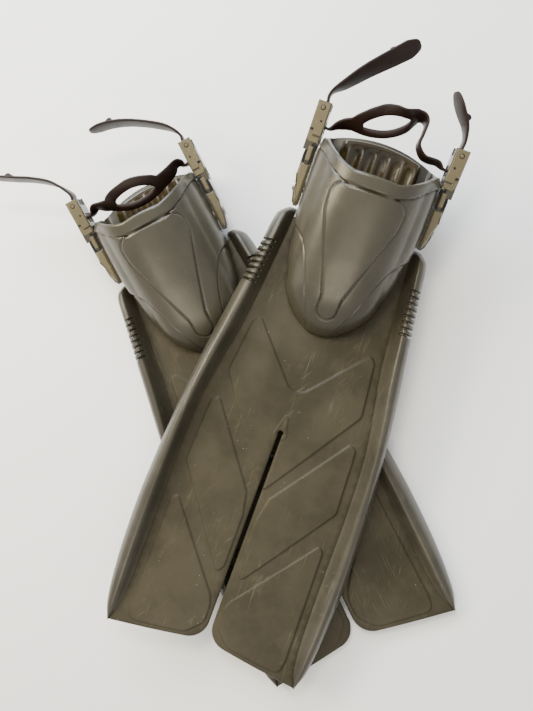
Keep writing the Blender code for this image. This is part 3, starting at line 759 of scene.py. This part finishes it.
def buckle_point(side, u, n, v=0.0):
    """A point of the fin's frame: u along the buckle, n outwards, v across it."""
    return (side * (BUCKLE_X + n), STUD_Y + u * math.cos(RISE) - v * math.sin(RISE),
            STUD_Z + u * math.sin(RISE) + v * math.cos(RISE))


def buckle_run(side):
    """The strap's way through a buckle, out of its inner face."""
    places = [(97.0, 5.2), (88.0, 5.2), (76.0, 5.2), (70.0, 4.8), (66.0, 2.6), (64.4, -1.0), (64.6, -6.0)]
    return [(*buckle_point(side, u, n), -math.degrees(RISE)) for u, n in places]


def smooth_route(route, step):
    """Points about a step apart on a smooth curve through a route."""
    points = [Vector(p) for p in route]
    points = [2 * points[0] - points[1]] + points + [2 * points[-1] - points[-2]]
    out = []
    for i in range(1, len(points) - 2):
        a, b, c, d = points[i - 1:i + 3]
        count = max(1, round((c.xyz - b.xyz).length / step))
        for k in range(count):
            t = k / count
            out.append(0.5 * ((2 * b) + (c - a) * t + (2 * a - 5 * b + 4 * c - d) * t ** 2
                              + (3 * b - a - 3 * c + d) * t ** 3))
    out.append(points[-2])
    return out


def band_section(low, high, thick):
    """A flat section with rounded edges, as (across, through) pairs."""
    half = thick / 2
    edge = min(half * 0.95, (high - low) / 2 - 0.05)
    points = []
    for centre, first in ((high - edge, -90), (low + edge, 90)):
        for k in range(7):
            angle = math.radians(first + 30 * k)
            points.append((centre + edge * math.cos(angle), half * math.sin(angle)))
    return points


def loop_columns(along):
    """Where the strap's lower edge, upper edge and loop hole lie at a distance from the loop's middle."""
    low, high, swell, hole = -STRAP_HALF, STRAP_HALF, 0.0, None
    if abs(along) < LOOP_HALF:
        swell = math.cos(math.pi * along / (2 * LOOP_HALF)) ** 0.7
        low -= 2.0 * swell
        high += LOOP_RISE * swell
    if abs(along) < LOOP_HOLE_HALF:
        open_by = math.cos(math.pi * along / (2 * LOOP_HOLE_HALF)) ** 0.6
        hole = (LOOP_HOLE_LOW * open_by, LOOP_HOLE_RISE * open_by)
    return low, high, swell, hole


def strap_frames(points):
    """At each point of a route: its place and the directions along, across and through the band."""
    frames = []
    for i, point in enumerate(points):
        ahead = points[min(i + 2, len(points) - 1)].xyz
        behind = points[max(i - 2, 0)].xyz
        run = (ahead - behind).normalized()
        lean = math.radians(point.w)
        across = Vector((0.0, math.sin(lean), math.cos(lean)))
        across = (across - across.project(run)).normalized()
        frames.append((point.xyz.copy(), run, across, run.cross(across).normalized()))
    return frames


def near_tip(frames, lengths, from_end, distance):
    """The frame at a distance from one tip of the strap."""
    travelled = [lengths[-1] - length if from_end else length for length in lengths]
    return frames[min(range(len(frames)), key=lambda i: abs(travelled[i] - distance))]


def add_stop(verts, faces, place, direction):
    """An end stop across the outer face of a tail."""
    centre, run, across, through = place
    run = run * direction
    outward = through if through.dot(Vector((centre.x, centre.y - LOOP_Y, 0.0))) > 0 else -through
    start, count = len(verts), len(STOP_SHAPE)
    for width in (-STOP_HALF, STOP_HALF):
        verts += [centre + run * a + outward * b * STOP_PROUD + across * width for a, b in STOP_SHAPE]
    faces += [(start + k, start + (k + 1) % count, start + count + (k + 1) % count, start + count + k)
              for k in range(count)]
    faces += [tuple(start + k for k in range(count)), tuple(start + count + k for k in range(count))]


def add_holes(verts, faces, place):
    """Two small dark squares on both faces of a tail: painted shade that stands for its small square holes.
    """
    centre, run, across, through = place
    for width in (-HOLE_APART, HOLE_APART):
        for face in (-HOLE_FACE, HOLE_FACE):
            start = len(verts)
            verts += [centre + run * a + across * (width + b) + through * face for a, b in HOLE_SHAPE]
            faces.append(tuple(start + k for k in range(4)))


def make_strap(key):
    """The heel strap: one band along its route, split into two arms round the finger hole."""
    left = LEFT_TAIL[key][::-1] + buckle_run(-1)
    right = buckle_run(1)[::-1] + RIGHT_TAIL[key]
    points = smooth_route(left + BAND[key] + right, STRAP_STEP)
    first = len(smooth_route(left, STRAP_STEP))
    lengths = [0.0]
    for before, after in zip(points, points[1:]):
        lengths.append(lengths[-1] + (after.xyz - before.xyz).length)
    middle = next(lengths[i] for i in range(first, len(points)) if points[i].x >= LOOP_X[key])
    frames = strap_frames(points)
    runs, arms = [[]], ([], [])
    for i, (centre, _, across, through) in enumerate(frames):
        along = lengths[i] - middle
        tip = min(lengths[i], lengths[-1] - lengths[i])
        thick = STRAP_THICK * (0.6 + 0.4 * min(tip / 4.0, 1.0))
        low, high, swell, hole = loop_columns(along)
        thick += 0.8 * swell
        if swell == 0.0:
            narrow = 0.30 + 0.70 * math.sqrt(min(tip / TIP_ROUND, 1.0))
            narrow *= 1.0 + TAIL_SPREAD * min(max((centre.y - TAIL_FROM) / TIP_ROUND, 0.0), 1.0)
            low, high = low * narrow, high * narrow

        def ring(a, b, t):
            return [centre + across * w + through * h for w, h in band_section(a, b, t)]

        if abs(along) < LOOP_HOLE_HALF + ARM_LAP:
            low_side, high_side = hole or (0.5, -0.5)
            swollen = 2.2 * min(1.0, max(0.0, LOOP_HOLE_HALF - abs(along)) / 8.0)
            arms[0].append(ring(low, low_side, thick - 0.15 + swollen))
            arms[1].append(ring(high_side, high, thick - 0.15))
            if hole is not None and runs[-1]:
                if abs(along) > LOOP_HOLE_HALF - BAND_LAP:
                    runs[-1].append(ring(low, high, thick))
                else:
                    runs.append([])
        if hole is None:
            runs[-1].append(ring(low, high, thick))
    verts, faces = [], []
    for rings in [r for r in runs if len(r) > 1] + list(arms):
        start, columns = len(verts), len(rings[0])
        verts += [v for ring_points in rings for v in ring_points]
        faces += grid_faces(len(rings), columns, start)
        faces.append(tuple(start + k for k in range(columns)))
        faces.append(tuple(len(verts) - columns + k for k in range(columns)))
    hole_shades, hole_shade_faces = [], []
    for from_end, direction in ((False, 1), (True, -1)):
        add_stop(verts, faces, near_tip(frames, lengths, from_end, STOP_PLACE), direction)
        add_holes(hole_shades, hole_shade_faces, near_tip(frames, lengths, from_end, HOLES_PLACE))
    body = key + "_strap_assembly"
    # near-black painted shade standing for the two small holes near each tail end
    piece = new_object(key + "_strap_holes", to_world(key, hole_shades), hole_shade_faces, LOOKS[key]["painted_shade"], 50.0)
    settle(piece, body, "strap")
    piece = new_object(key + "_heel_strap_skin", to_world(key, verts), faces, LOOKS[key]["strap"], 50.0)
    return settle(piece, body, "strap", key + "_heel_strap")


# ---------------------------------------------------------------- footbed
BED_HALF = 45.0
BED_ROUND_FROM = 598.0
BED_END = 603.0
BED_TOP = 8.2
BED_UNDER = 6.35
RIDGE = 3.4
FLUTE_DEPTH = 2.8
FLUTE_PITCH = 15.0


def make_footbed(key):
    """The ribbed mat under the foot: smooth flutes that curl up a little at the heel."""
    columns = np.linspace(-BED_HALF, BED_HALF, 121)
    rows = np.concatenate([np.arange(452.0, BED_ROUND_FROM, 4.0), np.linspace(BED_ROUND_FROM, BED_END, 9)])
    top, under = [], []
    for y in rows:
        curl = 5.5 * ease(y, 548.0, 600.0)
        end = 4.0 * (1 - math.sqrt(max(0.0, 1 - (max(0.0, y - BED_ROUND_FROM) / 5.0) ** 2)))
        depth = FLUTE_DEPTH * ease(y, 597.0, 587.0)
        for x in columns:
            edge = ease(BED_HALF - abs(x), 0.0, 4.0)
            flute = math.cos(math.pi * (x - 3.0) / FLUTE_PITCH) ** 2
            place = y - HEEL_ROUND * (x / HEEL_HALF) ** 2 * ease(y, 560.0, BED_END)
            top.append((x, place, BED_TOP + (RIDGE - depth * flute + curl) * edge - end))
            under.append((x, place, BED_UNDER))
    count = len(top)
    width = len(columns)
    faces = grid_faces(len(rows), width, 0, False) + grid_faces(len(rows), width, count, False)
    for i in range(len(rows) - 1):
        for k in (0, width - 1):
            a, b = i * width + k, (i + 1) * width + k
            faces.append((a, b, count + b, count + a))
    for k in range(width - 1):
        for row in (0, len(rows) - 1):
            a = row * width + k
            faces.append((a, a + 1, count + a + 1, count + a))
    piece = new_object(key + "_footbed_skin", to_world(key, top + under), faces, LOOKS[key]["footbed"], 50.0)
    return settle(piece, key + "_fin", "rubber", key + "_footbed")


# ---------------------------------------------------------------- buckles and small parts
# shapes on a buckle, with corners as (n outwards, u along, radius)
PLATE = [(0.3, 54, 1), (0.3, 87.6, 1.5), (13.7, 87.6, 1.5), (13.7, 60, 1), (9.6, 60, 0.5), (9.6, 54, 1)]
HOOK = [(1.0, 46.5, 0.8), (1.0, 52.6, 0.8), (8.4, 52.6, 0.5), (8.4, 57.8, 0.5), (13.4, 57.8, 0.8),
        (13.4, 49.5, 1.5), (11.0, 46.5, 1.0)]
PIT = [(1.0, 25.5, 1), (1.0, 45.0, 1), (11.4, 45.0, 1), (11.4, 25.5, 1)]
INNER_WALL = [(0.2, 40.0, 0), (0.2, 87.4, 0), (1.0, 87.4, 0), (1.0, 40.0, 0)]
TONGUE_BAR = [(3.4, 27.5, 0.8), (3.4, 42.5, 0.8), (8.4, 42.5, 0.8), (8.4, 27.5, 0.8)]
TAIL = [(1.2, -15.0, 1), (1.2, 24.0, 1), (11.2, 24.0, 1), (10.2, 12, 2), (9.2, 0, 4), (7.0, -12.0, 2),
        (4.0, -18.5, 1)]
PIN = (7.2, 81.5)
EYELET = (4.8, 68.5)


def slab(side, verts, faces, outline, low, high, bevel):
    """A flat raised shape on the upper face of a buckle, from v = low to v = high."""
    path = rounded(outline, 0.8, 60.0)
    rings = [(path, low), (path, high - bevel)]
    if bevel:
        rings.append((inset(path, bevel), high))
    start, count = len(verts), len(path)
    for ring, v in rings:
        verts += [buckle_point(side, u, n, v) for n, u in ring.tolist()]
    faces += grid_faces(len(rings), count, start)
    faces.append(tuple(len(verts) - count + k for k in range(count)))


def circle(centre, radius, sides=20):
    n, u = centre
    angles = [2 * math.pi * k / sides for k in range(sides)]
    return [(n + radius * math.cos(angle), u + radius * math.sin(angle), 0) for angle in angles]


def make_trim(key, side, label):
    """The raised faceplate, hook, bar and tail of a buckle's upper face, coloured light gold as a painted
    highlight, and the parts between them in near-black painted shade.
    """
    # light-gold painted highlight on the raised faceplate, hook, bar, tail and pin boss
    raised = [(PLATE, 12.0, 13.9, 0.7), (HOOK, 11.0, 13.2, 0.7), (TONGUE_BAR, 11.0, 13.3, 0.9),
              (TAIL, 11.0, 13.4, 1.5), (circle(PIN, 1.9), 13.5, 14.5, 0.5)]
    # near-black painted shade in the pit, along the inner side, round the pin and in the eyelet
    shade_slabs = [(PIT, 11.0, 12.1, 0.2), (INNER_WALL, -11.8, 11.8, 0.2), (circle(PIN, 2.7), 13.5, 13.98, 0),
            (circle(EYELET, 1.2), 13.5, 13.98, 0)]
    for name, look, slabs in (("highlit_trim", "painted_highlight", raised), ("pit", "painted_shade", shade_slabs)):
        verts, faces = [], []
        for outline, low, high, bevel in slabs:
            slab(side, verts, faces, outline, low, high, bevel)
        verts = to_world(key, verts)
        piece = new_object(f"{key}_{label}_buckle_{name}", verts, faces, LOOKS[key][look], 30.0)
        settle(piece, key + "_strap_assembly", "buckle")


WELD = 0.00002
FLAT_ANGLE = math.radians(2)
SHARP_ANGLE = math.radians(35)
BEVEL_ANGLE = math.radians(38)
BUCKLE_EDGE = 0.7
LEVER_EDGE = 0.6
BUTTON_EDGE = 0.3


def refined(node, width, material, body, slot, segments=2):
    """A copy of a CAD node with rounded edges, which stands for it."""
    source = frame["nodes"][node]
    mesh = source.data.copy()
    mesh.name = node + "_refined"
    bm = bmesh.new()
    bm.from_mesh(mesh)
    bm.transform(source.matrix_world)
    bmesh.ops.remove_doubles(bm, verts=bm.verts, dist=WELD)
    bmesh.ops.dissolve_limit(bm, angle_limit=FLAT_ANGLE, verts=bm.verts, edges=bm.edges)
    bmesh.ops.recalc_face_normals(bm, faces=bm.faces)
    bm.to_mesh(mesh)
    bm.free()
    if mesh.attributes.get("custom_normal"):
        mesh.attributes.remove(mesh.attributes["custom_normal"])
    mesh.materials.clear()
    mesh.materials.append(material)
    mesh.shade_smooth()
    mesh.set_sharp_from_angle(angle=SHARP_ANGLE)
    piece = bpy.data.objects.new(node + "_refined", mesh)
    bpy.context.collection.objects.link(piece)
    bevel = piece.modifiers.new("Rounded edges", "BEVEL")
    bevel.width = width * MM
    bevel.segments = segments
    bevel.limit_method = "ANGLE"
    bevel.angle_limit = BEVEL_ANGLE
    bevel.harden_normals = False
    return settle(piece, body, slot, node)


for key in KEYS:
    looks = LOOKS[key]
    fin, strap = key + "_fin", key + "_strap_assembly"
    make_blade(key)
    make_pocket(key)
    make_strap(key)
    make_footbed(key)
    for side, label in SIDES:
        prefix = key + "_" + label
        make_rail(key, side, label)
        for name in ("_buckle_base", "_buckle_frame"):
            refined(prefix + name, BUCKLE_EDGE, looks["buckle"], strap, "buckle", 3)
        make_trim(key, side, label)
        refined(prefix + "_strap_lever", LEVER_EDGE, looks["lever"], prefix + "_lever", "lever")
        for name in ("_top_button", "_bottom_button"):
            refined(prefix + name, BUTTON_EDGE, looks["lever"], prefix + name, "lever")
        for name, body in (("_stud", fin), ("_lever_pin", strap)):
            node = frame["nodes"][prefix + name]
            node.data.materials.clear()
            node.data.materials.append(METAL)

# ---------------------------------------------------------------- camera, floor and light
CAMERA_PLACE = (0.145073, 0.032303, 0.77409)
CAMERA_TURN = (0.573, 7.237, -0.7)
CAMERA_FOCAL = 650.0
PHOTO_HEIGHT = 711.0
SENSOR = 36.0

camera_data = bpy.data.cameras.new("photo_camera")
camera = bpy.data.objects.new("photo_camera", camera_data)
bpy.context.collection.objects.link(camera)
pitch, roll, yaw = (math.radians(a) for a in CAMERA_TURN)
turn = Matrix.Rotation(yaw, 4, "Z") @ Matrix.Rotation(pitch, 4, "X") @ Matrix.Rotation(roll, 4, "Y")
camera.matrix_world = Matrix.Translation(CAMERA_PLACE) @ turn
camera_data.sensor_width = SENSOR
camera_data.lens = SENSOR * CAMERA_FOCAL / PHOTO_HEIGHT
camera_data.clip_start = 0.01
bpy.context.scene.camera = camera

FLOOR_HALF = 6.0
FLOOR_CORNERS = [(x * FLOOR_HALF, y * FLOOR_HALF, 0) for x, y in ((-1, -1), (1, -1), (1, 1), (-1, 1))]
floor_mesh = bpy.data.meshes.new("floor")
floor_mesh.from_pydata(FLOOR_CORNERS, [], [(0, 1, 2, 3)])
floor = bpy.data.objects.new("floor", floor_mesh)
bpy.context.collection.objects.link(floor)
floor_nodes = Nodes("pale_floor")
floor_nodes.shader.inputs["Roughness"].default_value = 0.8
floor_nodes.shader.inputs["Base Color"].default_value = (0.92, 0.92, 0.91, 1.0)
floor_mesh.materials.append(floor_nodes.material)


def area_light(name, place, target, size, power, colour):
    """A soft light at a place in metres, turned to a target."""
    data = bpy.data.lights.new(name, "AREA")
    data.shape = "RECTANGLE"
    data.size, data.size_y = size
    data.energy = power
    data.color = colour
    light = bpy.data.objects.new(name, data)
    light.location = place
    light.rotation_euler = (Vector(target) - Vector(place)).to_track_quat("-Z", "Y").to_euler()
    bpy.context.collection.objects.link(light)


area_light("window", (-0.45, 1.40, 0.95), (0.0, 0.15, 0.0), (1.5, 0.6), 48.0, (0.74, 0.86, 1.0))
area_light("ceiling", (-0.15, -1.1, 1.30), (0.0, 0.1, 0.0), (1.0, 0.5), 10.0, (1.0, 0.88, 0.64))
area_light("pendant", (0.0, 0.55, 1.05), (0.05, 0.2, 0.0), (0.4, 0.25), 9.0, (1.0, 0.93, 0.78))
area_light("lamp", (-1.1, 0.45, 0.9), (0.0, 0.15, 0.0), (0.5, 0.5), 24.0, (1.0, 0.84, 0.56))

world = bpy.data.worlds.new("studio")
world.use_nodes = True
background = world.node_tree.nodes["Background"]
background.inputs["Color"].default_value = (0.97, 0.98, 1.0, 1.0)
background.inputs["Strength"].default_value = 0.90
bpy.context.scene.world = world
